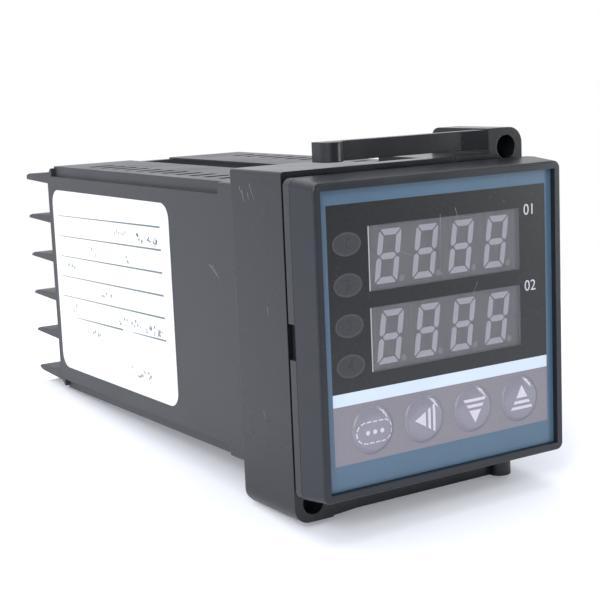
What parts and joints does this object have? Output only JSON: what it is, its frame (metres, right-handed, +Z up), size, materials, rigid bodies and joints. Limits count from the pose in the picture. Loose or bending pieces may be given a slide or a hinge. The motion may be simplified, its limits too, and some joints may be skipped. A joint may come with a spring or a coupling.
{
  "type": "panel-mount temperature controller",
  "caption": "Square panel-mount temperature controller: a deep moulded case with a plug-in front of two displays and press keys, rear screw terminals and a slide-on clamping frame.",
  "frame": {"origin": "middle of the panel's front face, where the back of the case's flange bears, on the axis of the square case", "axes": "+X to the right as the front is read, +Y through the panel towards the terminals, +Z up"},
  "size_m": [0.048, 0.1091, 0.0576],
  "materials": {
    "case_moulding": "moulded ABS, dark grey, faint spark-eroded grain",
    "frame_moulding": "moulded nylon, dark grey, scuffed",
    "bezel_moulding": "moulded ABS, near black, satin",
    "overlay_film": "printed polyester film, blue grey, black, lilac grey",
    "window_film": "smoke-tinted clear polyester",
    "label_paper": "white vinyl label, matt",
    "terminal_moulding": "moulded polyamide, black",
    "display_body": "black-grey moulded reflector",
    "display_segment": "milky epoxy, unlit",
    "lamp_epoxy": "tinted epoxy, unlit",
    "key_film": "embossed polyester film, lilac grey",
    "switch_plastic": "black moulded switch body",
    "plunger_plastic": "ivory moulded plunger",
    "circuit_board": "green solder mask on glass epoxy",
    "header_plastic": "black moulded header",
    "core_steel": "laminated silicon steel, lacquered",
    "winding_tape": "copper winding under yellow polyester tape",
    "relay_case": "blue moulded relay cover",
    "capacitor_sleeve": "shrunk vinyl sleeve over aluminium can",
    "chip_plastic": "black moulded epoxy",
    "contact_brass": "tin-plated brass",
    "screw_steel": "zinc-plated steel"
  },
  "bodies": {
    "case": {"housing": "case_moulding", "rating_label": "label_paper", "rear_terminal_block": "terminal_moulding", "terminal_contacts": "contact_brass", "clamp_washers": "screw_steel", "terminal_screws": "screw_steel"},
    "frame": {"mounting_frame": "frame_moulding"},
    "chassis": {"front_bezel": "bezel_moulding", "overlay_film": "overlay_film", "window_panes": "window_film", "upper_display": "display_body", "upper_segments": "display_segment", "lower_display": "display_body", "lower_segments": "display_segment", "indicator_lamps": "lamp_epoxy", "key_switches": "switch_plastic", "display_board": "circuit_board", "main_board": "circuit_board", "power_board": "circuit_board", "board_headers": "header_plastic", "transformer_core": "core_steel", "transformer_winding": "winding_tape", "output_relay": "relay_case", "filter_capacitors": "capacitor_sleeve", "logic_chips": "chip_plastic", "board_spacer": "switch_plastic"},
    "set_button": {"set_key": "key_film", "set_plunger": "plunger_plastic"},
    "shift_button": {"shift_key": "key_film", "shift_plunger": "plunger_plastic"},
    "down_button": {"down_key": "key_film", "down_plunger": "plunger_plastic"},
    "up_button": {"up_key": "key_film", "up_plunger": "plunger_plastic"}
  },
  "joints": [
    {"name": "frame_slide", "type": "slide", "parent": "case", "child": "frame", "axis": [0, 1, 0], "range_m": [0, 0.102]},
    {"name": "chassis_slide", "type": "slide", "parent": "case", "child": "chassis", "axis": [0, -1, 0], "range_m": [0, 0.084]},
    {"name": "set_press", "type": "slide", "parent": "chassis", "child": "set_button", "axis": [0, 1, 0], "range_m": [0, 0.00035], "stiffness_N_per_m": 400},
    {"name": "shift_press", "type": "slide", "parent": "chassis", "child": "shift_button", "axis": [0, 1, 0], "range_m": [0, 0.00035], "stiffness_N_per_m": 400},
    {"name": "down_press", "type": "slide", "parent": "chassis", "child": "down_button", "axis": [0, 1, 0], "range_m": [0, 0.00035], "stiffness_N_per_m": 400},
    {"name": "up_press", "type": "slide", "parent": "chassis", "child": "up_button", "axis": [0, 1, 0], "range_m": [0, 0.00035], "stiffness_N_per_m": 400}
  ]
}
